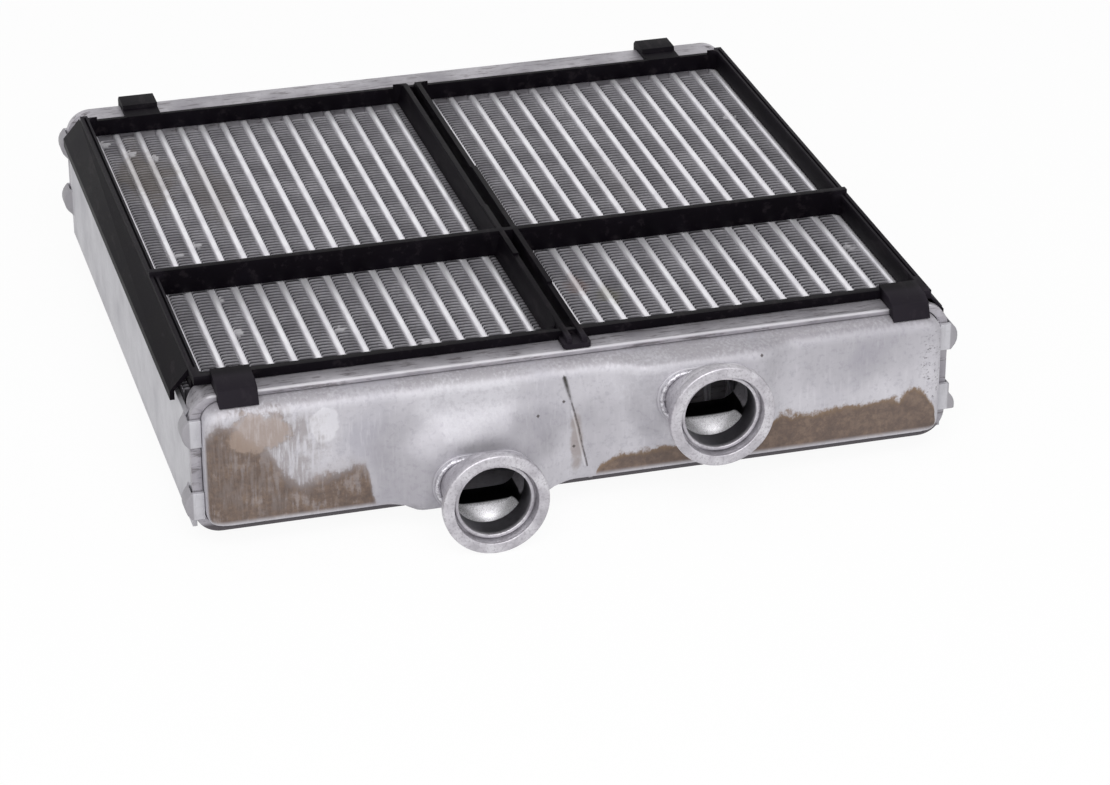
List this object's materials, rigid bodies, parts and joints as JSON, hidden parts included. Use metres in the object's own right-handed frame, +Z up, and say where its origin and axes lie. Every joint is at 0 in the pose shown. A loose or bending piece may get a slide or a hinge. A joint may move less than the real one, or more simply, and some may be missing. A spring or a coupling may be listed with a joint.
{
  "type": "heater core",
  "caption": "Flat aluminium heater core with folded fins between header tanks, stub hose ports low and high on the front tank, and a black moulded sealing frame across the fins.",
  "frame": {"origin": "middle of the overall box at the surface that the core lies on", "axes": "+X across the core from the low port to the high port, +Y from the port side to the rear tank, +Z up through the sealing frame"},
  "size_m": [0.2332, 0.2496, 0.0522],
  "materials": {
    "aluminium_tank": "satin, brazed and stained",
    "aluminium_sheet": "satin",
    "aluminium_port": "satin, turned",
    "aluminium_tube": "bright brazed",
    "aluminium_fin": "satin foil",
    "black_plastic": "moulded satin"
  },
  "bodies": {
    "root": {"front_header_tray": "aluminium_sheet", "rear_header_tray": "aluminium_sheet", "front_tank_cap": "aluminium_tank", "rear_tank_cap": "aluminium_tank", "inlet_port": "aluminium_port", "outlet_port": "aluminium_port", "divider_plate": "aluminium_sheet", "inlet_pass_tubes": "aluminium_tube", "middle_tube": "aluminium_tube", "outlet_pass_tubes": "aluminium_tube", "fin_01": "aluminium_fin", "fin_02": "aluminium_fin", "fin_03": "aluminium_fin", "fin_04": "aluminium_fin", "fin_05": "aluminium_fin", "fin_06": "aluminium_fin", "fin_07": "aluminium_fin", "fin_08": "aluminium_fin", "fin_09": "aluminium_fin", "fin_10": "aluminium_fin", "fin_11": "aluminium_fin", "fin_12": "aluminium_fin", "fin_13": "aluminium_fin", "fin_14": "aluminium_fin", "fin_15": "aluminium_fin", "fin_16": "aluminium_fin", "fin_17": "aluminium_fin", "fin_18": "aluminium_fin", "fin_19": "aluminium_fin", "fin_20": "aluminium_fin", "fin_21": "aluminium_fin", "fin_22": "aluminium_fin", "fin_23": "aluminium_fin", "fin_24": "aluminium_fin", "fin_25": "aluminium_fin", "fin_26": "aluminium_fin", "fin_27": "aluminium_fin", "fin_28": "aluminium_fin", "fin_29": "aluminium_fin", "fin_30": "aluminium_fin", "fin_31": "aluminium_fin", "fin_32": "aluminium_fin", "left_side_plate": "aluminium_sheet", "right_side_plate": "aluminium_sheet", "sealing_frame": "black_plastic"}
  },
  "joints": []
}
